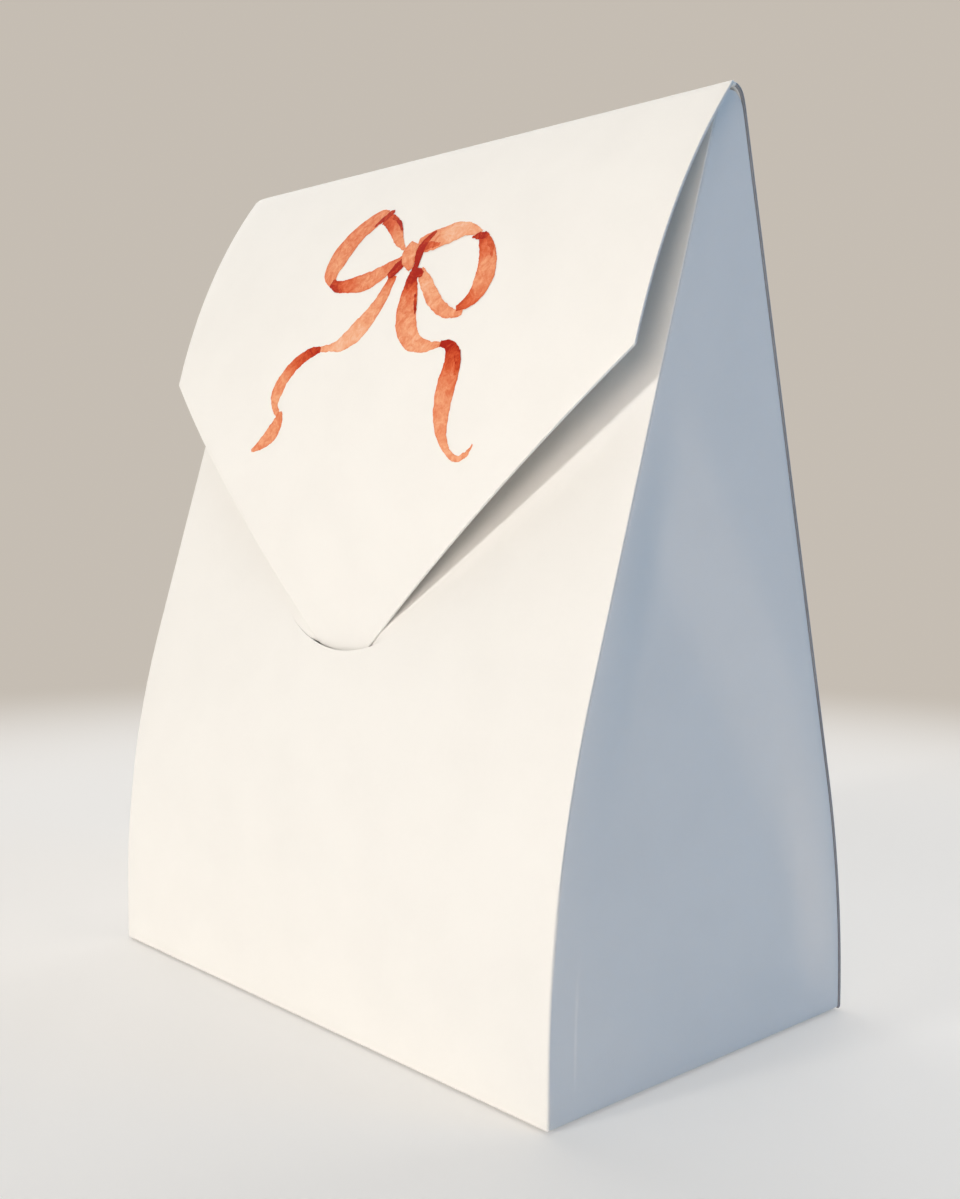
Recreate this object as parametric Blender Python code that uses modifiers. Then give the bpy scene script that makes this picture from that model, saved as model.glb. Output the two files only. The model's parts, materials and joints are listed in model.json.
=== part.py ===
"""Tapered favor box of folded white card, closed by a wrap-over lid whose tongue tucks into a slit.

The box stands on z = 0 with the middle of its base at the origin: +X to its right, -Y to its front.
Every panel is a sheet of card between two creases, and is its own object. Two panels that share a
crease keep a small gap there, so that each is a solid of its own.
"""

import math

import bmesh
import bpy
from mathutils import Matrix

MM = 0.001

# Driving sizes
WIDTH = 100.0 * MM
DEPTH = 61.8 * MM
HEIGHT = 127.9 * MM
CARD = 0.4 * MM
GAP = 0.3 * MM

# Front panel: upright at the base, then bent over into a straight slope that ends under the ridge
FRONT_BEND_LOW = 7.6 * MM
FRONT_BEND_HIGH = 51.9 * MM
FRONT_BELOW_RIDGE = 3.2 * MM
FRONT_BEFORE_RIDGE = 2.43 * MM

# Back panel: bent from the base crease upwards, and a hair wider than the body it closes
BACK_BEND_LOW = 0.0 * MM
BACK_BEND_HIGH = 35.2 * MM
BACK_OVERHANG = 0.1 * MM

# Ridge, with the side panels' tops rounded to fit under it, and lid, which is wider than the body
RIDGE_CENTRE_Y = 0.34 * MM
RIDGE_RADIUS = 3.7 * MM
SIDE_CREST_ANGLE = math.radians(15.0)
CREST_OVERHANG = 0.8 * MM
LID_LIFT = math.radians(21.44)
LID_OVERHANG_RIDGE = 2.2 * MM
LID_OVERHANG_CORNER = 1.5 * MM
LID_CORNER_ABOVE_SLIT = 40.75 * MM
LID_RIDGE_HANDLE_SHARE = 0.442
LID_TONGUE_HANDLE_SHARE = 0.173

# Slit in the front panel, an arc that sags between its two ends, and the tongue that enters it
SLIT_RADIUS = 23.5 * MM
SLIT_LOWEST = 53.0 * MM
SLIT_SAG = 4.6 * MM
SLIT_WIDTH = 0.5 * MM
LEAF_INSET = 0.15 * MM
LEAF_ROOT = 0.5 * MM
TONGUE_CLEAR = 0.39 * MM
TONGUE_HALF_WIDTH = 5.8 * MM
TONGUE_INSERTION = 3.0 * MM
TONGUE_TIP_FLAT = 0.15 * MM

# Tabs along the upright edges, each cut back at its ends
TAB_WIDTH = 8.0 * MM
TAB_END_WIDTH = 2.0 * MM
TAB_END_TAPER = 6.0 * MM
TAB_NOTCH = 4.0 * MM
GLUE_TAB_TOP = 27.0 * MM
BACK_TAB_SPLIT = 36.0 * MM
TAB_BELOW_RIDGE = 11.9 * MM

# One overrun serves every cut
OVERRUN = 2.0 * MM

# How finely curved sheets are divided
BEND_ROWS = 14
LID_ROWS = 22
RIDGE_ROWS = 5
CREST_ROWS = 4
TIP_ROWS = 6
SLIT_STEPS = 96
HALVINGS = 50

HALF_WIDTH = WIDTH / 2
HALF_DEPTH = DEPTH / 2
BASE_CLEAR = CARD + GAP
FRONT_TOP = HEIGHT - FRONT_BELOW_RIDGE
RIDGE_CENTRE_Z = HEIGHT - RIDGE_RADIUS
LID_CORNER_HEIGHT = SLIT_LOWEST + LID_CORNER_ABOVE_SLIT
TAB_TOP = HEIGHT - TAB_BELOW_RIDGE

WARM_WHITE = (0.92, 0.90, 0.86, 1.0)
COOL_WHITE = (0.86, 0.87, 0.89, 1.0)
INNER_WHITE = (0.84, 0.83, 0.80, 1.0)
CARD_ROUGHNESS = 0.55


def clear_scene():
    for item in list(bpy.data.objects):
        bpy.data.objects.remove(item)


def new_collection(name):
    collection = bpy.data.collections.new(name)
    bpy.context.scene.collection.children.link(collection)
    return collection


def card_material(name, colour):
    """Uncoated white card: pale, slightly rough and not metallic."""
    material = bpy.data.materials.new(name)
    material.use_nodes = True
    shader = material.node_tree.nodes["Principled BSDF"]
    shader.inputs["Base Color"].default_value = colour
    shader.inputs["Roughness"].default_value = CARD_ROUGHNESS
    shader.inputs["Metallic"].default_value = 0.0
    return material


def add_object(name, mesh, collection, colour):
    item = bpy.data.objects.new(name, mesh)
    collection.objects.link(item)
    mesh.materials.append(card_material(name, colour))
    return item


def bend_inset(height, low, high, lean):
    """How far a panel has come in from the base line at a height: upright, then an arc, then a slope."""
    radius = (high - low) / math.sin(lean)
    if height <= low:
        return 0.0
    if height < high:
        return radius - math.sqrt(radius ** 2 - (height - low) ** 2)
    return radius * (1 - math.cos(lean)) + (height - high) * math.tan(lean)


def bend_angle(height, low, high, lean):
    """The panel's lean from upright at a height."""
    if height <= low:
        return 0.0
    if height < high:
        return math.asin((height - low) / (high - low) * math.sin(lean))
    return lean


def crossing(measure, low, high):
    """The value between low and high at which a rising measure passes zero, found by halving."""
    for _ in range(HALVINGS):
        middle = (low + high) / 2
        if measure(middle) < 0:
            low = middle
        else:
            high = middle
    return low


def front_over_reach(lean):
    """How much further in than its place under the ridge the front panel's top comes at a lean."""
    reach = HALF_DEPTH + RIDGE_CENTRE_Y - FRONT_BEFORE_RIDGE
    return bend_inset(FRONT_TOP, FRONT_BEND_LOW, FRONT_BEND_HIGH, lean) - reach


def back_over_reach(lean):
    """How much further in than the place where it touches the ridge's arc the back panel comes."""
    top = RIDGE_CENTRE_Z + RIDGE_RADIUS * math.sin(lean)
    reach = HALF_DEPTH - RIDGE_CENTRE_Y - RIDGE_RADIUS * math.cos(lean)
    return bend_inset(top, BACK_BEND_LOW, BACK_BEND_HIGH, lean) - reach


# The slopes follow from the depth, the height and the ridge's place
FRONT_LEAN = crossing(front_over_reach, 0, math.pi / 4)
BACK_LEAN = crossing(back_over_reach, 0, math.pi / 4)


def front_face(height, depth_in=0.0):
    """Y of the surface that lies depth_in behind the front panel's outer face."""
    bend = (height, FRONT_BEND_LOW, FRONT_BEND_HIGH, FRONT_LEAN)
    return -HALF_DEPTH + bend_inset(*bend) + depth_in / math.cos(bend_angle(*bend))


def back_face(height, depth_in=0.0):
    """Y of the surface that lies depth_in in front of the back panel's outer face."""
    bend = (height, BACK_BEND_LOW, BACK_BEND_HIGH, BACK_LEAN)
    return HALF_DEPTH - bend_inset(*bend) - depth_in / math.cos(bend_angle(*bend))


# The ridge is an arc that touches the back panel's slope and ends at the lid's first slope
BACK_TOP = RIDGE_CENTRE_Z + RIDGE_RADIUS * math.sin(BACK_LEAN)
RIDGE_HALF_GAP_ANGLE = GAP / 2 / RIDGE_RADIUS
LID_DROP = FRONT_LEAN + LID_LIFT
LID_START_ANGLE = math.pi - LID_DROP
LID_START_Z = RIDGE_CENTRE_Z + RIDGE_RADIUS * math.sin(LID_START_ANGLE)

# The tongue hangs behind the lip below the slit, and leans out to pass before the slit's two ends
SLIT_CENTRE_Z = SLIT_LOWEST + SLIT_RADIUS
SLIT_CHORD_Z = SLIT_LOWEST + SLIT_SAG
TONGUE_TIP_Z = SLIT_LOWEST - TONGUE_INSERTION
TONGUE_ENTRY_Z = SLIT_CENTRE_Z - math.sqrt(SLIT_RADIUS ** 2 - TONGUE_HALF_WIDTH ** 2)
TONGUE_Y = front_face(TONGUE_ENTRY_Z, CARD + GAP)
TONGUE_PASS_Y = front_face(SLIT_CHORD_Z) - CARD - TONGUE_CLEAR
TONGUE_LEAN = math.atan2(TONGUE_Y - TONGUE_PASS_Y, SLIT_SAG)

# The half-moon above the slit is pressed in from its root until its lower edge clears the tongue
LEAF_Y = front_face(SLIT_CHORD_Z) + LEAF_INSET
LEAF_EDGE_Y = TONGUE_Y + CARD / math.cos(TONGUE_LEAN) + GAP
LEAF_TILT = math.atan2(LEAF_EDGE_Y - LEAF_Y, SLIT_SAG - SLIT_WIDTH)


def spread(low, high, count):
    return [low + (high - low) * i / count for i in range(count + 1)]


def panel_heights(low, high, bend_low, bend_high):
    """Heights of a panel's rows: its two ends, and many through its bend."""
    bend = spread(max(low, bend_low), min(high, bend_high), BEND_ROWS)
    return sorted({low, high, *bend})


def ridge_point(angle):
    """(y, z) on the ridge's outer arc; 0 points to the back and a quarter turn straight up."""
    y = RIDGE_CENTRE_Y + RIDGE_RADIUS * math.cos(angle)
    z = RIDGE_CENTRE_Z + RIDGE_RADIUS * math.sin(angle)
    return y, z


def lid_point(share):
    """(y, z) on the lid's outer face, from the ridge arc's end at 0 to the slit at 1."""
    start = ridge_point(LID_START_ANGLE)
    end = (TONGUE_Y, SLIT_LOWEST)
    drop = math.dist(start, end)
    ridge_handle = drop * LID_RIDGE_HANDLE_SHARE
    tongue_handle = drop * LID_TONGUE_HANDLE_SHARE
    out = (start[0] - ridge_handle * math.sin(LID_DROP), start[1] - ridge_handle * math.cos(LID_DROP))
    back = (end[0] - tongue_handle * math.sin(TONGUE_LEAN), end[1] + tongue_handle * math.cos(TONGUE_LEAN))
    rest = 1 - share
    weights = (rest ** 3, 3 * rest ** 2 * share, 3 * rest * share ** 2, share ** 3)
    points = (start, out, back, end)
    y = sum(weight * point[0] for weight, point in zip(weights, points))
    z = sum(weight * point[1] for weight, point in zip(weights, points))
    return y, z


def lid_share_at(height):
    """The share along the lid's curve at which it passes a height."""
    return crossing(lambda share: height - lid_point(share)[1], 0, 1)


def tapered_half_width(height, slope):
    """Half the width of the lid's taper, which is straight and ends in an arc that touches both its edges."""
    point = TONGUE_ENTRY_Z - TONGUE_HALF_WIDTH / slope
    edge_angle = math.atan(slope)
    arc_low = TONGUE_TIP_Z - TONGUE_TIP_FLAT
    radius = (arc_low - point) / (1 / math.sin(edge_angle) - 1)
    above_arc_low = height - arc_low
    if above_arc_low < radius * (1 - math.sin(edge_angle)):
        return math.sqrt(radius ** 2 - (radius - above_arc_low) ** 2)
    return (height - point) * slope


def lid_half_width(height):
    """Half the lid's width: rounded off at the crest, nearly even down to its corners, then tapered."""
    crest = HALF_WIDTH + CREST_OVERHANG
    ridge = HALF_WIDTH + LID_OVERHANG_RIDGE
    corner = HALF_WIDTH + LID_OVERHANG_CORNER
    if height > LID_START_Z:
        share = (height - LID_START_Z) / (HEIGHT - LID_START_Z)
        return crest + (ridge - crest) * math.sqrt(1 - min(share, 1) ** 2)
    if height >= LID_CORNER_HEIGHT:
        share = (height - LID_CORNER_HEIGHT) / (LID_START_Z - LID_CORNER_HEIGHT)
        return corner + (ridge - corner) * share
    return tapered_half_width(height, (corner - TONGUE_HALF_WIDTH) / (LID_CORNER_HEIGHT - TONGUE_ENTRY_Z))


def back_half_width(height):
    """Half the back panel's width: even up its slope, and a little wider over the ridge."""
    share = max(height - BACK_TOP, 0) / (HEIGHT - BACK_TOP)
    return HALF_WIDTH + BACK_OVERHANG + (CREST_OVERHANG - BACK_OVERHANG) * share ** 2


def sheet(name, collection, colour, rows, columns=2):
    """A sheet of card through rows of (left point, right point), listed upwards as seen from outside.

    The rows lie on the outer face, and the card's thickness goes inwards from it.
    """
    row_count = len(rows) - 1
    form = bmesh.new()
    bmesh.ops.create_grid(form, x_segments=columns, y_segments=row_count, size=1)
    for vertex in form.verts:
        across = (vertex.co.x + 1) / 2
        row = round((vertex.co.y + 1) / 2 * row_count)
        left, right = rows[row]
        vertex.co = [a + (b - a) * across for a, b in zip(left, right)]
    mesh = bpy.data.meshes.new(name)
    form.to_mesh(mesh)
    form.free()
    item = add_object(name, mesh, collection, colour)
    card = item.modifiers.new("card", "SOLIDIFY")
    card.thickness = CARD
    card.offset = -1.0
    card.use_even_offset = True
    return item


def set_origin(item, point):
    """Puts the object's origin at a point and leaves its shape in place."""
    item.data.transform(Matrix.Translation([-value for value in point]))
    item.location = point


def turned(rows):
    """The same rows seen from the other side."""
    return [(right, left) for left, right in rows]


def circle_segment(name, collection, radius, chord_z, thickness):
    """The part of an upright disc below a chord, its centre at the origin and its face towards -Y."""
    form = bmesh.new()
    bmesh.ops.create_circle(form, cap_ends=True, radius=radius, segments=SLIT_STEPS)
    bmesh.ops.rotate(form, verts=form.verts, matrix=Matrix.Rotation(math.pi / 2, 3, "X"))
    whole = form.verts[:] + form.edges[:] + form.faces[:]
    bmesh.ops.bisect_plane(form, geom=whole, plane_co=(0, 0, chord_z), plane_no=(0, 0, 1), clear_outer=True)
    extruded = bmesh.ops.extrude_face_region(form, geom=form.faces[:])
    moved = [part for part in extruded["geom"] if isinstance(part, bmesh.types.BMVert)]
    bmesh.ops.translate(form, verts=moved, vec=(0, thickness, 0))
    bmesh.ops.recalc_face_normals(form, faces=form.faces)
    mesh = bpy.data.meshes.new(name)
    form.to_mesh(mesh)
    form.free()
    item = bpy.data.objects.new(name, mesh)
    item.hide_render = True
    item.display_type = "WIRE"
    collection.objects.link(item)
    return item


def combine(item, operand, operation):
    step = item.modifiers.new(operand.name, "BOOLEAN")
    step.operation = operation
    step.object = operand
    step.solver = "EXACT"


def make_bottom_panel(parts):
    reach_x = HALF_WIDTH - BASE_CLEAR
    reach_y = HALF_DEPTH - BASE_CLEAR
    rows = [((-reach_x, y, 0), (reach_x, y, 0)) for y in (reach_y, -reach_y)]
    sheet("bottom_panel", parts, WARM_WHITE, rows)


def make_front_panel(parts, cutters):
    """The front panel, with the half-moon above its slit pressed in behind the tongue."""
    rows = []
    for height in panel_heights(0, FRONT_TOP, FRONT_BEND_LOW, FRONT_BEND_HIGH):
        y = front_face(height)
        rows.append(((-HALF_WIDTH, y, height), (HALF_WIDTH, y, height)))
    panel = sheet("front_panel", parts, WARM_WHITE, rows)
    chord = SLIT_CHORD_Z - SLIT_CENTRE_Z
    window_y = front_face(SLIT_LOWEST) - OVERRUN
    window_depth = front_face(SLIT_CHORD_Z) - front_face(SLIT_LOWEST) + CARD + 2 * OVERRUN
    window = circle_segment("slit_window", cutters, SLIT_RADIUS, chord, window_depth)
    window.location = (0, window_y, SLIT_CENTRE_Z)
    combine(panel, window, "DIFFERENCE")
    leaf = circle_segment("slit_leaf", cutters, SLIT_RADIUS - SLIT_WIDTH, chord + LEAF_ROOT, CARD)
    leaf.data.transform(Matrix.Translation((0, 0, -chord)))
    leaf.rotation_euler = (LEAF_TILT, 0, 0)
    leaf.location = (0, LEAF_Y, SLIT_CHORD_Z)
    combine(panel, leaf, "UNION")


def side_edges(height):
    """Y of a side panel's two edges: inside the front and back, and under the ridge's arc at its top."""
    front = front_face(height, BASE_CLEAR)
    back = back_face(height, BASE_CLEAR)
    above = height - RIDGE_CENTRE_Z
    if above > 0:
        reach = math.sqrt((RIDGE_RADIUS - BASE_CLEAR) ** 2 - above ** 2)
        return max(front, RIDGE_CENTRE_Y - reach), min(back, RIDGE_CENTRE_Y + reach)
    return front, back


def make_side_panels(parts):
    """Upright panels that narrow from the base to the ridge, and stand inside the front and back."""
    crest_angle = math.pi / 2 - SIDE_CREST_ANGLE
    radius = RIDGE_RADIUS - BASE_CLEAR
    crest = [radius * math.sin(angle) for angle in spread(0, crest_angle, CREST_ROWS)]
    heights = {RIDGE_CENTRE_Z + above for above in crest}
    heights.update(panel_heights(0, RIDGE_CENTRE_Z, FRONT_BEND_LOW, FRONT_BEND_HIGH))
    heights.update(panel_heights(0, RIDGE_CENTRE_Z, BACK_BEND_LOW, BACK_BEND_HIGH))
    rows = []
    for height in sorted(heights):
        front, back = side_edges(height)
        rows.append(((HALF_WIDTH, front, height), (HALF_WIDTH, back, height)))
    sheet("right_side_panel", parts, COOL_WHITE, rows)
    left_rows = [((-HALF_WIDTH, *left[1:]), (-HALF_WIDTH, *right[1:])) for left, right in rows]
    sheet("left_side_panel", parts, COOL_WHITE, turned(left_rows))


def tab_heights(low, high, bend_low, bend_high):
    """A tab's rows: its ends, the places where its ends are cut back, and any bend that it crosses."""
    ends = {low, low + TAB_END_TAPER, high - TAB_END_TAPER, high}
    bend = {height for height in spread(bend_low, bend_high, BEND_ROWS) if low < height < high}
    return sorted(ends | bend)


def tab_width(height, low, high):
    from_end = min(height - low, high - height, TAB_END_TAPER)
    return TAB_END_WIDTH + (TAB_WIDTH - TAB_END_WIDTH) * from_end / TAB_END_TAPER


def make_glue_tabs(parts):
    """Short tabs that turn from the front panel's upright foot on to the inside of each side panel."""
    low = BASE_CLEAR
    x = HALF_WIDTH - BASE_CLEAR
    right_rows = []
    left_rows = []
    for height in tab_heights(low, GLUE_TAB_TOP, FRONT_BEND_LOW, FRONT_BEND_HIGH):
        front = front_face(height, BASE_CLEAR)
        back = front + tab_width(height, low, GLUE_TAB_TOP)
        right_rows.append(((x, front, height), (x, back, height)))
        left_rows.append(((-x, back, height), (-x, front, height)))
    sheet("front_right_glue_tab", parts, INNER_WHITE, right_rows, columns=1)
    sheet("front_left_glue_tab", parts, INNER_WHITE, left_rows, columns=1)


def crosswise_tab(name, parts, face, low, high, bend_low, bend_high, side, outward):
    """A tab folded from a side panel's sloping edge to lie against the front or the back panel.

    side is 1 on the right and -1 on the left; outward is -1 behind the front and 1 inside the back.
    """
    outer = HALF_WIDTH - BASE_CLEAR
    rows = []
    for height in tab_heights(low, high, bend_low, bend_high):
        y = face(height, BASE_CLEAR)
        inner = outer - tab_width(height, low, high)
        rows.append(((side * inner, y, height), (side * outer, y, height)))
    seen_mirrored = side * outward > 0
    sheet(name, parts, INNER_WHITE, turned(rows) if seen_mirrored else rows, columns=1)


def make_side_tabs(parts):
    front_bend = (FRONT_BEND_LOW, FRONT_BEND_HIGH)
    back_bend = (BACK_BEND_LOW, BACK_BEND_HIGH)
    front_low = GLUE_TAB_TOP + TAB_NOTCH
    back_low = (BASE_CLEAR, BACK_TAB_SPLIT - TAB_NOTCH / 2)
    back_high = (BACK_TAB_SPLIT + TAB_NOTCH / 2, TAB_TOP)
    for side, word in ((1, "right"), (-1, "left")):
        crosswise_tab(f"{word}_front_tab", parts, front_face, front_low, TAB_TOP, *front_bend, side, -1)
        crosswise_tab(f"{word}_back_lower_tab", parts, back_face, *back_low, *back_bend, side, 1)
        crosswise_tab(f"{word}_back_upper_tab", parts, back_face, *back_high, *back_bend, side, 1)


def make_back_panel(parts):
    """The back panel, up its slope and over the back half of the ridge; it turns on the base crease."""
    heights = panel_heights(0, BACK_TOP, BACK_BEND_LOW, BACK_BEND_HIGH)
    path = [(back_face(height), height) for height in heights]
    arc = spread(BACK_LEAN, math.pi / 2 - RIDGE_HALF_GAP_ANGLE, RIDGE_ROWS)
    path.extend(ridge_point(angle) for angle in arc[1:])
    rows = [((back_half_width(z), y, z), (-back_half_width(z), y, z)) for y, z in path]
    panel = sheet("back_panel", parts, WARM_WHITE, rows)
    set_origin(panel, (0, HALF_DEPTH, 0))
    return panel


def lid_path():
    """(y, z) down the lid's outer face, listed from the tongue's tip up to the ridge."""
    tip_rows = spread(TONGUE_TIP_Z, SLIT_LOWEST, TIP_ROWS)
    path = [(TONGUE_Y - (height - SLIT_LOWEST) * math.tan(TONGUE_LEAN), height) for height in tip_rows[:-1]]
    exact = {lid_share_at(LID_CORNER_HEIGHT), lid_share_at(TONGUE_ENTRY_Z)}
    shares = sorted({*spread(0, 1, LID_ROWS), *exact}, reverse=True)
    path.extend(lid_point(share) for share in shares)
    arc = spread(LID_START_ANGLE, math.pi / 2 + RIDGE_HALF_GAP_ANGLE, RIDGE_ROWS)
    path.extend(ridge_point(angle) for angle in arc[1:])
    return path


def make_lid(parts, back_panel):
    """The lid turns on the ridge's crest, which the back panel carries."""
    rows = [((-lid_half_width(z), y, z), (lid_half_width(z), y, z)) for y, z in lid_path()]
    lid = sheet("lid_flap", parts, WARM_WHITE, rows)
    set_origin(lid, (0, RIDGE_CENTRE_Y, HEIGHT))
    lid.parent = back_panel
    lid.location = [a - b for a, b in zip(lid.location, back_panel.location)]


def main():
    clear_scene()
    parts = new_collection("favor_box")
    cutters = new_collection("cutters")
    make_bottom_panel(parts)
    make_front_panel(parts, cutters)
    make_side_panels(parts)
    make_glue_tabs(parts)
    make_side_tabs(parts)
    back_panel = make_back_panel(parts)
    make_lid(parts, back_panel)


main()
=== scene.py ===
import json
import math

import bmesh
import bpy
from mathutils import Matrix, Vector, noise
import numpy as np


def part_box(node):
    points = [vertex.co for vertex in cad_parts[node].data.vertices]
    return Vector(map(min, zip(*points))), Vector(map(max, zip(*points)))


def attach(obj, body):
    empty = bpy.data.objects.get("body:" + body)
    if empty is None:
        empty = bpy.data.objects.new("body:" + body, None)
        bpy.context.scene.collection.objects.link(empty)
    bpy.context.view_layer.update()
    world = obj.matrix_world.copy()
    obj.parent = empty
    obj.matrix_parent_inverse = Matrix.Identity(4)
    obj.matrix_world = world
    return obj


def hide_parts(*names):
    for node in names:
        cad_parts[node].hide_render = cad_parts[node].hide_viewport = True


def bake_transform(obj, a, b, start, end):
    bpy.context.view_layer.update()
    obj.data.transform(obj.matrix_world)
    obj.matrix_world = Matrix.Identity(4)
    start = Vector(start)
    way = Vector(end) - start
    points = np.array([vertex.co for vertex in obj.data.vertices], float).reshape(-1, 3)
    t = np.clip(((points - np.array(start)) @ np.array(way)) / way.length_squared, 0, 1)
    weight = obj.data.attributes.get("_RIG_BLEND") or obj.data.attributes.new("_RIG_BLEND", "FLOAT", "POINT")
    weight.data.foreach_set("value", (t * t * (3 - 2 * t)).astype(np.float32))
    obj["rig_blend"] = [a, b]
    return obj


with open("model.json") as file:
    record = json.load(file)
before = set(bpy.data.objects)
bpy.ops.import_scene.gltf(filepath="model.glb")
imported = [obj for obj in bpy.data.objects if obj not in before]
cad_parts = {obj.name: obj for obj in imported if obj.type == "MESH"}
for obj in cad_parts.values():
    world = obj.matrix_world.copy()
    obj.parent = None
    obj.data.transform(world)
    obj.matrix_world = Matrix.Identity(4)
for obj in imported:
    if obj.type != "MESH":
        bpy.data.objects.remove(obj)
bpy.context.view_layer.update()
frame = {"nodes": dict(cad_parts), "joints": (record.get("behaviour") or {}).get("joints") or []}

MM = 0.001

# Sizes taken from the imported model
JOINTS = {joint["name"]: joint for joint in frame["joints"]}
_, RIDGE_Y, HEIGHT = JOINTS["lid_fold"]["pos_m"]
HALF_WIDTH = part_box("right_side_panel")[1].x
CARD = HALF_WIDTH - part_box("right_side_panel")[0].x
HALF_DEPTH = -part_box("front_panel")[0].y
FRONT_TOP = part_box("front_panel")[1].z
CREST_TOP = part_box("right_side_panel")[1].z
GLUE_TAB_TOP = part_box("front_right_glue_tab")[1].z

# Shape values shared with the part
GAP = 0.3 * MM
FRONT_BEND = (7.6 * MM, 51.9 * MM)
FRONT_BEFORE_RIDGE = 2.43 * MM
BACK_BEND = (0.0, 35.2 * MM)
BACK_OVERHANG = 0.1 * MM
RIDGE_RADIUS = 3.7 * MM
CREST_OVERHANG = 0.8 * MM
LID_OVERHANG_RIDGE = 2.2 * MM
LID_LIFT = math.radians(21.44)
LID_OVERHANG_CORNER = 1.5 * MM
LID_CORNER_ABOVE_SLIT = 40.75 * MM
LID_RIDGE_HANDLE_SHARE = 0.442
LID_TONGUE_HANDLE_SHARE = 0.173
SLIT_RADIUS = 23.5 * MM
SLIT_LOWEST = 53.0 * MM
SLIT_SAG = 4.6 * MM
TONGUE_CLEAR = 0.39 * MM
TONGUE_HALF_WIDTH = 5.8 * MM
TONGUE_INSERTION = 3.0 * MM
TONGUE_TIP_FLAT = 0.03 * MM
STEEPEST_LEAN = math.pi / 4
HALVINGS = 50

# Finish of the card's edges and folds
FOLD_RADIUS = 0.5 * MM
SIDE_FOLD = 0.34 * MM
SIDE_REAR_FOLD = 0.15 * MM
SIDE_BACK_GAP = 0.08 * MM
CUT_EDGE = 0.06 * MM
# The back's edges get an inner bevel this wide, and with the dark cut material it paints shade along them
BACK_PAINTED_SHADE_BEVEL = 0.34 * MM
FRONT_EDGE = 0.16 * MM
FRONT_EDGE_FADE = 4.0 * MM
CREST = math.pi / 2
RIDGE_STRIP_ANGLE = math.radians(7.0)
CORNER_STEPS = (math.radians(30), math.radians(60), math.radians(90))
SHARP_ANGLE = math.radians(50)
WELD = 0.0001 * MM

# Rows and columns of the sheets
FOOT_ROWS = 5
FRONT_LOWER_ROWS = 44
FRONT_UPPER_ROWS = 30
SLIT_BAND = 6.0 * MM
SLIT_BAND_ROWS = 14
SLIT_COLUMNS = 40
FLANK_COLUMNS = 12
SIDE_FOOT_ROWS = 4
SIDE_ROWS = 40
SIDE_TOP_ROWS = 6
SIDE_SPLIT_ABOVE_TAB = 2.0 * MM
SIDE_COLUMNS = (8, 10, 30)
BASE_ROWS = 12
BASE_COLUMNS = 16
BASE_CREASE_ROWS = 6
BACK_ROWS = 70
BACK_RIDGE_ROWS = 16
BACK_COLUMNS = 24
CREASE_BACK_ROWS = 5
CREASE_LID_ROWS = 8
LID_RIDGE_ROWS = 14
LID_ROWS = 120
TONGUE_ROWS = 20
LID_COLUMNS = 40

# Camera, solved from the photograph's base corners, ridge and edges
PHOTO_HEIGHT_PX = 1199
FOCAL_PX = 1425.8
SENSOR = 36.0
CAMERA_PLACE = (164.66 * MM, -148.51 * MM, 76.68 * MM)
CAMERA_YAW = math.radians(-47.18)
CAMERA_PITCH = math.radians(-4.52)
CAMERA_ROLL = math.radians(0.29)
CLIP_NEAR = 0.005
CLIP_FAR = 20.0


def spread(low, high, count):
    """Evenly spaced values from low to high, with both of them in it."""
    return [low + (high - low) * i / count for i in range(count + 1)]


def ease(value):
    """0 below 0, 1 above 1, and a smooth step between."""
    value = min(max(value, 0.0), 1.0)
    return value * value * (3 - 2 * value)


def same_everywhere(value):
    """A function that gives one value at every place, where another could vary."""
    return lambda place: value


def crossing(measure, low, high):
    """The value between low and high at which a rising measure passes zero, found by halving."""
    for _ in range(HALVINGS):
        middle = (low + high) / 2
        if measure(middle) < 0:
            low = middle
        else:
            high = middle
    return low


def bend_inset(height, low, high, lean):
    """How far a panel has come in from the base line: upright, then an arc, then a slope."""
    radius = (high - low) / math.sin(lean)
    if height <= low:
        return 0.0
    if height < high:
        return radius - math.sqrt(radius ** 2 - (height - low) ** 2)
    return radius * (1 - math.cos(lean)) + (height - high) * math.tan(lean)


def bend_angle(height, low, high, lean):
    """The panel's lean at a height on the same line."""
    if height <= low:
        return 0.0
    if height < high:
        return math.asin((height - low) / (high - low) * math.sin(lean))
    return lean


RIDGE_Z = HEIGHT - RIDGE_RADIUS
FRONT_REACH = HALF_DEPTH + RIDGE_Y - FRONT_BEFORE_RIDGE


def front_over_reach(lean):
    """How far a front with this lean comes in past its place before the ridge."""
    return bend_inset(FRONT_TOP, *FRONT_BEND, lean) - FRONT_REACH


def back_over_reach(lean):
    """How far a back with this lean comes in past the ridge's arc."""
    top = RIDGE_Z + RIDGE_RADIUS * math.sin(lean)
    return bend_inset(top, *BACK_BEND, lean) - (HALF_DEPTH - RIDGE_Y - RIDGE_RADIUS * math.cos(lean))


FRONT_LEAN = crossing(front_over_reach, 0, STEEPEST_LEAN)
BACK_LEAN = crossing(back_over_reach, 0, STEEPEST_LEAN)
BACK_TOP = RIDGE_Z + RIDGE_RADIUS * math.sin(BACK_LEAN)
LID_DROP = FRONT_LEAN + LID_LIFT
LID_START = math.pi - LID_DROP
LID_START_Z = RIDGE_Z + RIDGE_RADIUS * math.sin(LID_START)


# A sample of a sheet's profile is (y, z, inward y, inward z) on its outer face
def front_sample(height):
    angle = bend_angle(height, *FRONT_BEND, FRONT_LEAN)
    y = -HALF_DEPTH + bend_inset(height, *FRONT_BEND, FRONT_LEAN)
    return y, height, math.cos(angle), -math.sin(angle)


def back_sample(height):
    angle = bend_angle(height, *BACK_BEND, BACK_LEAN)
    y = HALF_DEPTH - bend_inset(height, *BACK_BEND, BACK_LEAN)
    return y, height, -math.cos(angle), -math.sin(angle)


def ridge_sample(angle):
    y = RIDGE_Y + RIDGE_RADIUS * math.cos(angle)
    z = RIDGE_Z + RIDGE_RADIUS * math.sin(angle)
    return y, z, -math.cos(angle), -math.sin(angle)


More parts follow.
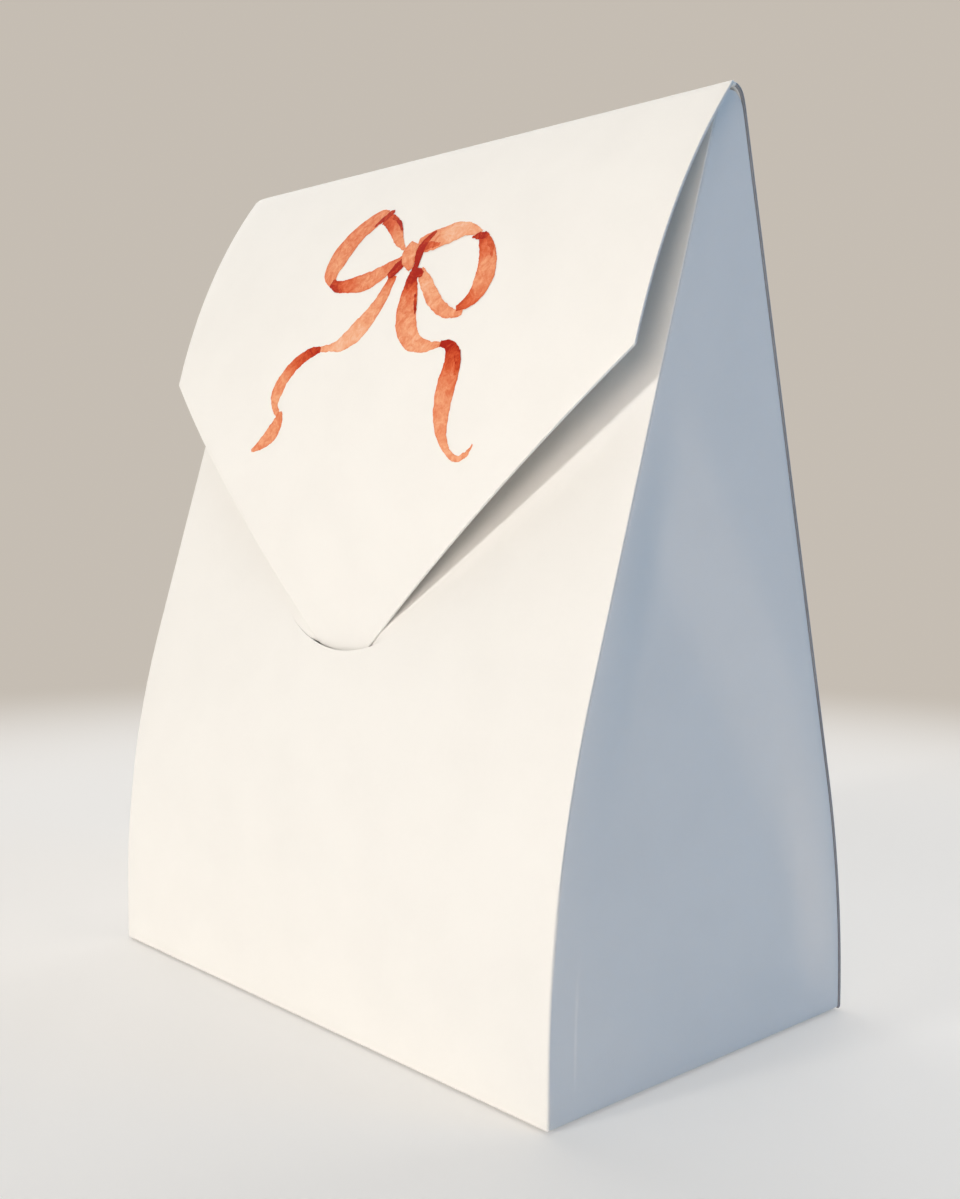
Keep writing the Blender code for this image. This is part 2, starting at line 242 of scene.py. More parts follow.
def ridge_samples(low, high, count):
    """Samples over the ridge from one angle to another; the crest is at a quarter turn."""
    return [ridge_sample(angle) for angle in spread(low, high, count)]


def foot_samples(side, count):
    """The rounded fold at the base; side is -1 for the front's foot and 1 for the back's."""
    centre_y = side * (HALF_DEPTH - FOLD_RADIUS)
    samples = []
    for angle in spread(math.pi / 2, 0, count):
        y = side * math.cos(angle)
        z = -math.sin(angle)
        samples.append((centre_y + FOLD_RADIUS * y, FOLD_RADIUS + FOLD_RADIUS * z, -y, -z))
    return samples


SLIT_CENTRE_Z = SLIT_LOWEST + SLIT_RADIUS
SLIT_CHORD_Z = SLIT_LOWEST + SLIT_SAG
SLIT_HALF = math.sqrt(SLIT_RADIUS ** 2 - (SLIT_RADIUS - SLIT_SAG) ** 2)
TONGUE_TIP_Z = SLIT_LOWEST - TONGUE_INSERTION
TONGUE_ENTRY_Z = SLIT_CENTRE_Z - math.sqrt(SLIT_RADIUS ** 2 - TONGUE_HALF_WIDTH ** 2)
ENTRY = front_sample(TONGUE_ENTRY_Z)
TONGUE_Y = ENTRY[0] + (CARD + GAP) / ENTRY[2]
TONGUE_PASS_Y = front_sample(SLIT_CHORD_Z)[0] - CARD - TONGUE_CLEAR
TONGUE_LEAN = math.atan2(TONGUE_Y - TONGUE_PASS_Y, SLIT_SAG)
LID_CORNER_Z = SLIT_LOWEST + LID_CORNER_ABOVE_SLIT


def lid_sample(share):
    """A sample on the lid's curve, from the ridge arc's end at 0 to the slit at 1."""
    start = Vector(ridge_sample(LID_START)[:2])
    end = Vector((TONGUE_Y, SLIT_LOWEST))
    drop = (end - start).length
    out = start - Vector((math.sin(LID_DROP), math.cos(LID_DROP))) * drop * LID_RIDGE_HANDLE_SHARE
    back = end + Vector((-math.sin(TONGUE_LEAN), math.cos(TONGUE_LEAN))) * drop * LID_TONGUE_HANDLE_SHARE
    rest = 1 - share
    place = (start * rest ** 3 + out * 3 * rest ** 2 * share
             + back * 3 * rest * share ** 2 + end * share ** 3)
    slope = (out - start) * rest ** 2 + (back - out) * 2 * rest * share + (end - back) * share ** 2
    slope.normalize()
    return place.x, place.y, -slope.y, slope.x


def tongue_samples():
    samples = []
    for height in spread(SLIT_LOWEST, TONGUE_TIP_Z, TONGUE_ROWS)[1:]:
        y = TONGUE_Y - (height - SLIT_LOWEST) * math.tan(TONGUE_LEAN)
        samples.append((y, height, math.cos(TONGUE_LEAN), math.sin(TONGUE_LEAN)))
    return samples


def back_half_width(height):
    """Even up the back's slope, and a little wider over the ridge."""
    share = max(height - BACK_TOP, 0) / (HEIGHT - BACK_TOP)
    return HALF_WIDTH + BACK_OVERHANG + (CREST_OVERHANG - BACK_OVERHANG) * share ** 2


def tapered_half_width(height, slope):
    """Half the width of the lid's taper: straight, then an arc that touches both its edges."""
    point = TONGUE_ENTRY_Z - TONGUE_HALF_WIDTH / slope
    edge_angle = math.atan(slope)
    arc_low = TONGUE_TIP_Z - TONGUE_TIP_FLAT
    radius = (arc_low - point) / (1 / math.sin(edge_angle) - 1)
    above_arc_low = height - arc_low
    if above_arc_low < radius * (1 - math.sin(edge_angle)):
        return math.sqrt(radius ** 2 - (radius - above_arc_low) ** 2)
    return (height - point) * slope


def lid_half_width(height):
    """Rounded off at the crest, nearly even down to the lid's corners, then tapered."""
    crest = HALF_WIDTH + CREST_OVERHANG
    ridge = HALF_WIDTH + LID_OVERHANG_RIDGE
    corner = HALF_WIDTH + LID_OVERHANG_CORNER
    if height > LID_START_Z:
        share = (height - LID_START_Z) / (HEIGHT - LID_START_Z)
        return crest + (ridge - crest) * math.sqrt(1 - min(share, 1) ** 2)
    if height >= LID_CORNER_Z:
        return corner + (ridge - corner) * (height - LID_CORNER_Z) / (LID_START_Z - LID_CORNER_Z)
    return tapered_half_width(height, (corner - TONGUE_HALF_WIDTH) / (LID_CORNER_Z - TONGUE_ENTRY_Z))


# Meshes: a sheet is a stack of closed loops round its cross-section, each (place along, depth in)
def card_loop(along, corner_low, corner_high, inner_edge=CUT_EDGE):
    """A loop round a sheet's section; along holds the outer face's columns from edge to edge."""
    low = along[0]
    high = along[-1]
    inner_low = low + inner_edge
    inner_high = high - inner_edge

    def outer(value):
        return min(max(value, low + corner_low), high - corner_high)

    def inner(value):
        return min(max(value, inner_low), inner_high)

    loop = [(outer(value), 0.0) for value in along]
    for angle in CORNER_STEPS:
        loop.append((high - corner_high * (1 - math.sin(angle)), corner_high * (1 - math.cos(angle))))
    loop.append((high, CARD - CUT_EDGE))
    loop.extend((inner(value), CARD) for value in reversed(along))
    loop.append((low, CARD - CUT_EDGE))
    for angle in reversed(CORNER_STEPS):
        loop.append((low + corner_low * (1 - math.sin(angle)), corner_low * (1 - math.cos(angle))))
    return loop


def loop_parts(loop):
    """A loop's count of columns, and the places in it where its inner face starts and ends."""
    inner_start = len(loop) // 2
    columns = inner_start - len(CORNER_STEPS) - 2
    return columns, inner_start, inner_start + columns


def lay_loop(loop, sample):
    """A ring of points: a loop laid crosswise at a sample of its sheet's profile."""
    y, z, inward_y, inward_z = sample
    return [(x, y + inward_y * depth, z + inward_z * depth) for x, depth in loop]


def crosswise_rings(samples, half_width, columns, inner_edge=CUT_EDGE):
    """Rings of a sheet that runs from left to right and follows a profile in y and z."""
    rings = []
    for sample in samples:
        half = half_width(sample[1])
        loop = card_loop(spread(-half, half, columns), CUT_EDGE, CUT_EDGE, inner_edge)
        rings.append(lay_loop(loop, sample))
    return rings


def add_cap(form, ring, closes, turned):
    """Closes a skin's end at the columns that pass a test, and its edges if the outermost ones do."""
    columns, inner_start, inner_end = loop_parts(ring)
    faces = []
    for column in range(columns):
        if closes(column):
            over = inner_end - column
            faces.append([ring[column], ring[column + 1], ring[over - 1], ring[over]])
    if closes(0) and closes(columns - 1):
        faces.append(ring[columns:inner_start + 1])
        faces.append(ring[inner_end:] + ring[:1])
    for corners in faces:
        face = form.faces.new(list(reversed(corners)) if turned else corners)
        face.material_index = 1


def add_rings(form, rings, closes_start, closes_end):
    """Joins rings of points into a skin, with cut edges in the second material, and caps its ends."""
    _, inner_start, inner_end = loop_parts(rings[0])
    cut_faces = (inner_start - 2, inner_start - 1, inner_end, inner_end + 1)
    made = [[form.verts.new(point) for point in ring] for ring in rings]
    for lower, upper in zip(made, made[1:]):
        for i in range(len(lower)):
            after = (i + 1) % len(lower)
            face = form.faces.new((lower[i], lower[after], upper[after], upper[i]))
            face.material_index = int(i in cut_faces)
    add_cap(form, made[0], closes_start, True)
    add_cap(form, made[-1], closes_end, False)


def new_object(name, form):
    """Puts a form in the scene as a smooth-shaded object."""
    mesh = bpy.data.meshes.new(name)
    form.to_mesh(mesh)
    form.free()
    mesh.shade_smooth()
    thing = bpy.data.objects.new(name, mesh)
    bpy.context.scene.collection.objects.link(thing)
    return thing


def card_piece(name, form, look):
    """A finished piece of card with one of the looks that follow the materials."""
    bmesh.ops.remove_doubles(form, verts=form.verts, dist=WELD)
    bmesh.ops.recalc_face_normals(form, faces=form.faces)
    piece = new_object(name, form)
    piece.data.set_sharp_from_angle(angle=SHARP_ANGLE)
    face_material, cut_material, slot = look
    piece.data.materials.append(face_material)
    piece.data.materials.append(cut_material)
    return piece


def sheet_piece(name, rings, look):
    """A piece of card that is one skin, closed all the way along both ends."""
    form = bmesh.new()
    add_rings(form, rings, same_everywhere(True), same_everywhere(True))
    return card_piece(name, form, look)


# Materials; a texture's scale is in cells a metre
CLOUD_SCALE = 90.0
GRAIN_SCALE = 900.0
FIBRE_SCALE = 3200.0
FIBRE_STRETCH = (1.0, 1.6, 0.45)
FIBRE_TURN = (0.3, 0.7, 0.5)
FIBRE_TONE = 0.35
GRAIN_RELIEF = 0.5
SHADE_STOP = 0.35
LIGHT_STOP = 0.80
CARD_ROUGHNESS = (0.52, 0.66)
TAB_ROUGHNESS = (0.6, 0.75)
CUT_ROUGHNESS = (0.75, 0.9)
CARD_GLOSS = 0.35
CARD_BUMP = 0.35
BUMP_HEIGHT = 0.02 * MM


def new_material(name):
    material = bpy.data.materials.new(name)
    material.use_nodes = True
    return material, material.node_tree.nodes, material.node_tree.links


def add_noise(nodes, scale, detail, roughness=0.5, distortion=0.0):
    texture = nodes.new("ShaderNodeTexNoise")
    texture.inputs["Scale"].default_value = scale
    texture.inputs["Detail"].default_value = detail
    texture.inputs["Roughness"].default_value = roughness
    texture.inputs["Distortion"].default_value = distortion
    return texture


def add_math(nodes, operation, second=0.5, clamp=False):
    """A Math node whose second input, where nothing is linked to it, has the given value."""
    step = nodes.new("ShaderNodeMath")
    step.operation = operation
    step.inputs[1].default_value = second
    step.use_clamp = clamp
    return step


def add_range(nodes, low, high):
    """Maps 0 to 1 onto low to high."""
    change = nodes.new("ShaderNodeMapRange")
    change.inputs["To Min"].default_value = low
    change.inputs["To Max"].default_value = high
    return change


def add_ramp(nodes, stops):
    """A colour ramp through two or more stops, each (position, colour)."""
    ramp = nodes.new("ShaderNodeValToRGB")
    elements = ramp.color_ramp.elements
    for element, (position, colour) in zip(elements, (stops[0], stops[-1])):
        element.position = position
        element.color = (*colour, 1.0)
    for position, colour in stops[1:-1]:
        elements.new(position).color = (*colour, 1.0)
    return ramp


def add_bump(nodes, strength):
    bump = nodes.new("ShaderNodeBump")
    bump.inputs["Strength"].default_value = strength
    bump.inputs["Distance"].default_value = BUMP_HEIGHT
    return bump


def add_seen_test(nodes, links):
    """A Math node that gives 1 to the camera and to reflections, and 0 to light on the object."""
    path = nodes.new("ShaderNodeLightPath")
    either = add_math(nodes, "ADD", clamp=True)
    links.new(path.outputs["Is Camera Ray"], either.inputs[0])
    links.new(path.outputs["Is Glossy Ray"], either.inputs[1])
    return either


def card_material(name, light, shade, roughness):
    """Smooth white card: faint clouds of tone, fine paper fibres in colour, roughness and bump."""
    material, nodes, links = new_material(name)
    shader = nodes["Principled BSDF"]
    shader.inputs["Specular IOR Level"].default_value = CARD_GLOSS
    place = nodes.new("ShaderNodeTexCoord")
    stretch = nodes.new("ShaderNodeMapping")
    stretch.inputs["Scale"].default_value = FIBRE_STRETCH
    stretch.inputs["Rotation"].default_value = FIBRE_TURN
    cloud = add_noise(nodes, CLOUD_SCALE, detail=4.0)
    fibre = add_noise(nodes, FIBRE_SCALE, detail=5.0, roughness=0.65)
    grain = add_noise(nodes, GRAIN_SCALE, detail=3.0)
    blend = add_math(nodes, "MULTIPLY_ADD", FIBRE_TONE)
    ramp = add_ramp(nodes, ((SHADE_STOP, shade), (LIGHT_STOP, light)))
    rough = add_range(nodes, *roughness)
    relief = add_math(nodes, "MULTIPLY_ADD", GRAIN_RELIEF)
    bump = add_bump(nodes, CARD_BUMP)
    links.new(place.outputs["Object"], cloud.inputs["Vector"])
    links.new(place.outputs["Object"], stretch.inputs["Vector"])
    links.new(place.outputs["Object"], grain.inputs["Vector"])
    links.new(stretch.outputs["Vector"], fibre.inputs["Vector"])
    links.new(fibre.outputs["Fac"], blend.inputs[0])
    links.new(cloud.outputs["Fac"], blend.inputs[2])
    links.new(blend.outputs["Value"], ramp.inputs["Fac"])
    links.new(ramp.outputs["Color"], shader.inputs["Base Color"])
    links.new(fibre.outputs["Fac"], rough.inputs["Value"])
    links.new(rough.outputs["Result"], shader.inputs["Roughness"])
    links.new(grain.outputs["Fac"], relief.inputs[0])
    links.new(fibre.outputs["Fac"], relief.inputs[2])
    links.new(relief.outputs["Value"], bump.inputs["Height"])
    links.new(bump.outputs["Normal"], shader.inputs["Normal"])
    return material


OUTER_CARD = card_material("outer_card", (0.90, 0.89, 0.865), (0.875, 0.865, 0.84), CARD_ROUGHNESS)
# A darker, cooler copy of the same white card for the side panels: painted shade
SIDE_CARD_PAINTED_SHADE = card_material("side_card", (0.85, 0.85, 0.85), (0.825, 0.825, 0.825), CARD_ROUGHNESS)
TAB_CARD = card_material("tab_card", (0.86, 0.85, 0.82), (0.80, 0.79, 0.76), TAB_ROUGHNESS)
CUT_CARD = card_material("cut_card", (0.84, 0.84, 0.83), (0.74, 0.74, 0.73), CUT_ROUGHNESS)
# A dark copy of the cut edge: painted shade for the shadow in the gap along the back panel's edges
PAINTED_SHADE_CUT = card_material("shaded_cut_card", (0.36, 0.36, 0.38), (0.26, 0.26, 0.28), CUT_ROUGHNESS)

# Looks of a piece of card: material of its faces, material of its cut edges, and slot
WHITE = (OUTER_CARD, CUT_CARD, "white_card")
# The side panels take the darker copy of the card, which is painted shade
WHITE_SIDE_PAINTED_SHADE = (SIDE_CARD_PAINTED_SHADE, CUT_CARD, "white_card")
# The back's cut edges and inner bevels take the dark cut material, which is painted shade
WHITE_BACK_PAINTED_SHADE_EDGES = (OUTER_CARD, PAINTED_SHADE_CUT, "white_card")
PRINTED = (OUTER_CARD, CUT_CARD, "printed_card")

# Watercolour: its stops of colour run from the palest wash to the darkest pool
RIBBON_STOPS = (
    (0.00, (0.92, 0.60, 0.42)),
    (0.30, (0.85, 0.37, 0.20)),
    (0.46, (0.77, 0.24, 0.11)),
    (0.66, (0.69, 0.125, 0.042)),
    (0.88, (0.52, 0.046, 0.010)),
    (1.00, (0.38, 0.012, 0.003)),
)
FLOW_SCALE = 620.0
FLOW_TONE = 0.85
PIGMENT_SCALE = 2600.0
PIGMENT_TONE = 0.26
POOL_SHARPNESS = 6.0
POOL_TONE = 0.10
MEAN_TONE = 0.545
PRINT_ROUGHNESS = (0.50, 0.68)
PRINT_GLOSS = 0.15
PRINT_BUMP = 0.3


def read_layer(nodes, name):
    layer = nodes.new("ShaderNodeAttribute")
    layer.attribute_name = name
    return layer


def ribbon_material():
    """Washes of coral that pool darker at folds and along the strokes' edges."""
    material, nodes, links = new_material("ribbon_print")
    shader = nodes["Principled BSDF"]
    shader.inputs["Specular IOR Level"].default_value = PRINT_GLOSS
    place = nodes.new("ShaderNodeTexCoord")
    wash = read_layer(nodes, "wash")
    edge = read_layer(nodes, "edge")
    flow = add_noise(nodes, FLOW_SCALE, detail=6.0, roughness=0.65, distortion=1.1)
    pigment = add_noise(nodes, PIGMENT_SCALE, detail=4.0)
    pool = add_math(nodes, "POWER", POOL_SHARPNESS)
    add_pool = add_math(nodes, "MULTIPLY_ADD", POOL_TONE)
    add_flow = add_math(nodes, "MULTIPLY_ADD", FLOW_TONE)
    add_pigment = add_math(nodes, "MULTIPLY_ADD", PIGMENT_TONE)
    balance = add_math(nodes, "SUBTRACT", MEAN_TONE)
    ramp = add_ramp(nodes, RIBBON_STOPS)
    rough = add_range(nodes, *PRINT_ROUGHNESS)
    bump = add_bump(nodes, PRINT_BUMP)
    links.new(place.outputs["Object"], flow.inputs["Vector"])
    links.new(place.outputs["Object"], pigment.inputs["Vector"])
    links.new(edge.outputs["Fac"], pool.inputs[0])
    links.new(pool.outputs["Value"], add_pool.inputs[0])
    links.new(wash.outputs["Fac"], add_pool.inputs[2])
    links.new(flow.outputs["Fac"], add_flow.inputs[0])
    links.new(add_pool.outputs["Value"], add_flow.inputs[2])
    links.new(pigment.outputs["Fac"], add_pigment.inputs[0])
    links.new(add_flow.outputs["Value"], add_pigment.inputs[2])
    links.new(add_pigment.outputs["Value"], balance.inputs[0])
    links.new(balance.outputs["Value"], ramp.inputs["Fac"])
    links.new(ramp.outputs["Color"], shader.inputs["Base Color"])
    links.new(pigment.outputs["Fac"], rough.inputs["Value"])
    links.new(rough.outputs["Result"], shader.inputs["Roughness"])
    links.new(pigment.outputs["Fac"], bump.inputs["Height"])
    links.new(bump.outputs["Normal"], shader.inputs["Normal"])
    return material


# Front panel, with a half-moon above its slit that the lid presses in
LEAF_DEPTH = 1.72 * MM
LEAF_CURVE = 1.7
LEAF_MARGIN = 0.1 * MM
LEAF_FADE = 1.3 * MM
LEAF_EASED = 0.7


def slit_height(x):
    """The slit's height, and the height of its ends beyond them."""
    if abs(x) >= SLIT_HALF:
        return SLIT_CHORD_Z
    return SLIT_CENTRE_Z - math.sqrt(SLIT_RADIUS ** 2 - x ** 2)


def leaf_press(x, height):
    """How deep the half-moon above the slit is pressed in: behind the lid, and less beside it."""
    share = min(max((SLIT_CHORD_Z - height) / SLIT_SAG, 0.0), 1.0)
    beside = ease((abs(x) - lid_half_width(height) - LEAF_MARGIN) / LEAF_FADE)
    return LEAF_DEPTH * share ** LEAF_CURVE * (1 - LEAF_EASED * beside)


def front_columns():
    flank = spread(-HALF_WIDTH, -SLIT_HALF, FLANK_COLUMNS)
    middle = spread(-SLIT_HALF, SLIT_HALF, SLIT_COLUMNS)
    return flank[:-1] + middle + [-x for x in reversed(flank[:-1])]


def in_slit(column):
    return FLANK_COLUMNS <= column < FLANK_COLUMNS + SLIT_COLUMNS


def front_corner(height):
    """Rounded where the front folds into its glue tabs, and a cut edge above them."""
    fold = 1 - ease((height - GLUE_TAB_TOP) / FRONT_EDGE_FADE)
    return FRONT_EDGE + (SIDE_FOLD - FRONT_EDGE) * fold


def row_between(low, high, share):
    """A row's height as a function of x, a share of the way from one edge up to another."""
    return lambda x: low(x) + (high(x) - low(x)) * share


def front_ring(columns, height_at, pressed):
    """A ring across the front at a height that is a function of x."""
    ring = []
    corner = front_corner(height_at(HALF_WIDTH))
    for x, depth in card_loop(columns, corner, corner):
        height = height_at(x)
        y, z, inward_y, inward_z = front_sample(height)
        if pressed:
            depth += leaf_press(x, height)
        ring.append((x, y + inward_y * depth, z + inward_z * depth))
    return ring


def front_lower_rings(columns):
    """The foot's fold and straight rows, then rows that bend to the slit's curve."""
    band_low = SLIT_LOWEST - SLIT_BAND
    foot = card_loop(columns, SIDE_FOLD, SIDE_FOLD)
    rings = [lay_loop(foot, sample) for sample in foot_samples(-1, FOOT_ROWS)[:-1]]
    for height in spread(FOLD_RADIUS, band_low, FRONT_LOWER_ROWS):
        rings.append(front_ring(columns, same_everywhere(height), False))
    for share in spread(0, 1, SLIT_BAND_ROWS)[1:]:
        row = row_between(same_everywhere(band_low), slit_height, share)
        rings.append(front_ring(columns, row, False))
    return rings


def front_upper_rings(columns):
    """Rows that start at the slit's curve and straighten, then straight rows to the top."""
    band_high = SLIT_CHORD_Z + SLIT_BAND
    rings = []
    for share in spread(0, 1, SLIT_BAND_ROWS)[:-1]:
        row = row_between(slit_height, same_everywhere(band_high), share)
        rings.append(front_ring(columns, row, True))
    for height in spread(band_high, FRONT_TOP, FRONT_UPPER_ROWS):
        rings.append(front_ring(columns, same_everywhere(height), False))
    return rings


def make_front():
    """The front panel, cut along the slit; the half-moon above the cut is pressed in."""
    columns = front_columns()
    form = bmesh.new()
    add_rings(form, front_lower_rings(columns), same_everywhere(True), in_slit)
    add_rings(form, front_upper_rings(columns), in_slit, same_everywhere(True))
    piece = card_piece("front_card", form, WHITE)
    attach(piece, "box")
    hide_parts("front_panel")


# Side panels, with a shallow buckle and a strip that glue draws in
VALLEY_FRONT_Z = 76.0 * MM
VALLEY_BACK_Z = 5.0 * MM
VALLEY_DEPTH = 1.7 * MM
VALLEY_WIDE = 36.0 * MM
VALLEY_NARROW = 13.0 * MM
VALLEY_ROUND = 1.6 * MM
VALLEY_FADE = 10.0 * MM
GLUED_DEPTH = 0.09 * MM
GLUED_REACH = 4.6 * MM
GLUED_BLUR = 0.5 * MM
GLUED_LOW = 2.0 * MM
GLUED_TOP = 21.0 * MM
GLUED_FADE = 6.0 * MM
CLOSE_START_SHARE = 0.82
CLOSE_END_SHARE = 1.08


def side_edges(height):
    """Y of a side panel's edges: behind the front's inner face, and clear of the back panel."""
    y, _, inward, _ = front_sample(height)
    front = y + CARD / inward
    y, _, inward, _ = back_sample(height)
    back = y + (CARD + SIDE_BACK_GAP) / inward
    above = height - RIDGE_Z
    if above > 0:
        reach = math.sqrt(max((RIDGE_RADIUS - CARD - SIDE_BACK_GAP) ** 2 - above ** 2, 0.0))
        return max(front, RIDGE_Y - reach), min(back, RIDGE_Y + reach)
    return front, back


def valley_depth(y, z, front, back):
    """A shallow buckle across the panel, along a line from its front edge down to its rear foot."""
    start = Vector((front_sample(VALLEY_FRONT_Z)[0], VALLEY_FRONT_Z))
    end = Vector((back_sample(VALLEY_BACK_Z)[0], VALLEY_BACK_Z))
    along = (end - start).normalized()
    offset = Vector((y, z)) - start
    beside = along.x * offset.y - along.y * offset.x
    width = VALLEY_NARROW if beside > 0 else VALLEY_WIDE
    away = (math.sqrt(beside ** 2 + VALLEY_ROUND ** 2) - VALLEY_ROUND) / width
    fade = ease((y - front) / VALLEY_FADE) * ease((back - y) / VALLEY_FADE)
    return VALLEY_DEPTH * max(1 - away, 0.0) * fade * ease(z / VALLEY_FADE)


def side_dip(y, z, front, back):
    """How far the side's outer face lies inside its plane: its buckle, and where glue draws it in."""
    drawn = ease((GLUED_REACH - (y - front)) / GLUED_BLUR)
    drawn *= ease((GLUED_TOP - z) / GLUED_FADE) * ease((z - GLUED_LOW) / GLUED_FADE)
    return GLUED_DEPTH * drawn + valley_depth(y, z, front, back)


def side_columns(front, back):
    """Y of a row's columns: close over the glued strip's edge, and wider before and behind it."""
    reach = min(GLUED_REACH, (back - front) / 2)
    start = front + reach * CLOSE_START_SHARE
    end = front + reach * CLOSE_END_SHARE
    before, close, behind = SIDE_COLUMNS
    return spread(front, start, before)[:-1] + spread(start, end, close)[:-1] + spread(end, back, behind)


def side_profile():
    """A side panel's rows from its rounded foot up, each (inset, z, inward x, inward z)."""
    samples = []
    for angle in spread(0, math.pi / 2, SIDE_FOOT_ROWS)[:-1]:
        inset = -FOLD_RADIUS * (1 - math.sin(angle))
        samples.append((inset, FOLD_RADIUS * (1 - math.cos(angle)), math.sin(angle), math.cos(angle)))
    split = GLUE_TAB_TOP + SIDE_SPLIT_ABOVE_TAB
    heights = spread(FOLD_RADIUS, split, SIDE_ROWS)[:-1]
    heights += spread(split, RIDGE_Z, SIDE_ROWS)[:-1]
    heights += spread(RIDGE_Z, CREST_TOP, SIDE_TOP_ROWS)
    return samples + [(0.0, height, 1.0, 0.0) for height in heights]


def side_ring(side, sample):
    inset, z, inward_x, inward_z = sample
    front, back = side_edges(z)
    ring = []
    for y, depth in card_loop(side_columns(front, back), CUT_EDGE, SIDE_REAR_FOLD):
        x = HALF_WIDTH + inset - side_dip(y, z, front, back) - inward_x * depth
        ring.append((side * x, y, z + inward_z * depth))
    return ring


def make_side(name, side, node):
    """A side panel; side is 1 for the right one and -1 for the left one."""
    rings = [side_ring(side, sample) for sample in side_profile()]
    # Its faces use the darker copy of the white card, which paints shade on the side
    piece = sheet_piece(name, rings, WHITE_SIDE_PAINTED_SHADE)
    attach(piece, "box")
    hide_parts(node)


# Base, back, ridge and lid
def make_bottom():
    reach = HALF_DEPTH - FOLD_RADIUS
    samples = [(y, 0.0, 0.0, 1.0) for y in spread(reach, -reach, BASE_ROWS)]
    rings = crosswise_rings(samples, same_everywhere(HALF_WIDTH - FOLD_RADIUS), BASE_COLUMNS)
    piece = sheet_piece("bottom_card", rings, WHITE)
    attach(piece, "box")
    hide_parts("bottom_panel")


def make_back():
    samples = [back_sample(height) for height in spread(FOLD_RADIUS, BACK_TOP, BACK_ROWS)[:-1]]
    samples += ridge_samples(BACK_LEAN, CREST - RIDGE_STRIP_ANGLE, BACK_RIDGE_ROWS)
    rings = crosswise_rings(samples, back_half_width, BACK_COLUMNS, BACK_PAINTED_SHADE_BEVEL)
    piece = sheet_piece("back_card", rings, WHITE_BACK_PAINTED_SHADE_EDGES)
    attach(piece, "back")
    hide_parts("back_panel")


def make_base_crease():
    """The fold between the base and the back, which bends as the back springs open."""
    samples = foot_samples(1, BASE_CREASE_ROWS)
    rings = crosswise_rings(samples, back_half_width, BACK_COLUMNS, BACK_PAINTED_SHADE_BEVEL)
    piece = sheet_piece("base_crease", rings, WHITE_BACK_PAINTED_SHADE_EDGES)
    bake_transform(piece, "box", "back", (0, HALF_DEPTH - FOLD_RADIUS, 0), (0, HALF_DEPTH, FOLD_RADIUS))


def make_ridge_crease():
    """The fold along the crest, which bends as the lid opens."""
    low = CREST - RIDGE_STRIP_ANGLE
    high = CREST + RIDGE_STRIP_ANGLE
    before = ridge_samples(low, CREST, CREASE_BACK_ROWS)
    after = ridge_samples(CREST, high, CREASE_LID_ROWS)[1:]
    rings = crosswise_rings(before, back_half_width, LID_COLUMNS)
    rings += crosswise_rings(after, lid_half_width, LID_COLUMNS)
    piece = sheet_piece("ridge_crease", rings, PRINTED)
    start = ridge_sample(low)
    end = ridge_sample(high)
    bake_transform(piece, "back", "lid", (0, start[0], start[1]), (0, end[0], end[1]))


def lid_profile():
    """Samples of the lid from the crease over the ridge, down its curve, to the tongue's tip."""
    samples = ridge_samples(CREST + RIDGE_STRIP_ANGLE, LID_START, LID_RIDGE_ROWS)
    samples += [lid_sample(share) for share in spread(0, 1, LID_ROWS)[1:]]
    return samples + tongue_samples()


def with_corner_row(samples):
    """The lid's samples, with one more exactly at the height of its corners."""
    exact = []
    for low, high in zip(samples, samples[1:]):
        exact.append(low)
        if low[1] > LID_CORNER_Z > high[1]:
            share = (low[1] - LID_CORNER_Z) / (low[1] - high[1])
            exact.append(tuple(a + (b - a) * share for a, b in zip(low, high)))
    exact.append(samples[-1])
    return exact


def make_lid():
    rings = crosswise_rings(with_corner_row(lid_profile()), lid_half_width, LID_COLUMNS)
    piece = sheet_piece("lid_card", rings, PRINTED)
    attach(piece, "lid")
    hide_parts("lid_flap")


# Printed ribbon bow; its strokes are drawn in millimetres to the right of its knot and above it
KNOT_X = 3.3 * MM
KNOT_DOWN = 23.0 * MM
PRINT_LIFT = 0.02 * MM
LAYER_LIFT = 0.004 * MM
CREST_ROWS = 4
STROKE_STEPS = 16
STROKE_COLUMNS = 8
EDGE_WOBBLE = 0.16
FINE_WOBBLE_SHARE = 0.5
WOBBLE_STEP = 0.19
FINE_WOBBLE_STEP = 0.71
LAYER_SEED = 3.1
LEFT_EDGE_SEED = 0.4
RIGHT_EDGE_SEED = 7.3

# Each point of a stroke is (right, up, width, wash), and a wash of 1 is the darkest
LEFT_TAIL = (
    ((-2.8, -2.6, 1.9, 0.60), (-3.6, -5.8, 2.6, 0.42), (-5.0, -8.4, 3.3, 0.30),
     (-7.4, -11.0, 3.9, 0.20), (-10.4, -12.8, 2.6, 0.20), (-13.0, -13.3, 1.3, 0.26),
     (-15.8, -13.4, 0.9, 0.34)),
    ((-15.5, -13.5, 0.9, 0.95), (-18.2, -14.0, 1.9, 0.88), (-21.0, -15.4, 2.3, 0.66),
     (-23.2, -17.4, 2.6, 0.42), (-24.5, -19.8, 2.9, 0.36), (-24.4, -22.0, 1.6, 0.34),
     (-23.2, -23.4, 1.1, 0.38)),
    ((-22.9, -23.0, 1.2, 0.42), (-22.8, -24.4, 2.3, 0.38), (-24.0, -26.4, 3.0, 0.36),
     (-26.4, -28.0, 1.8, 0.34), (-28.9, -29.1, 0.4, 0.45)),
)
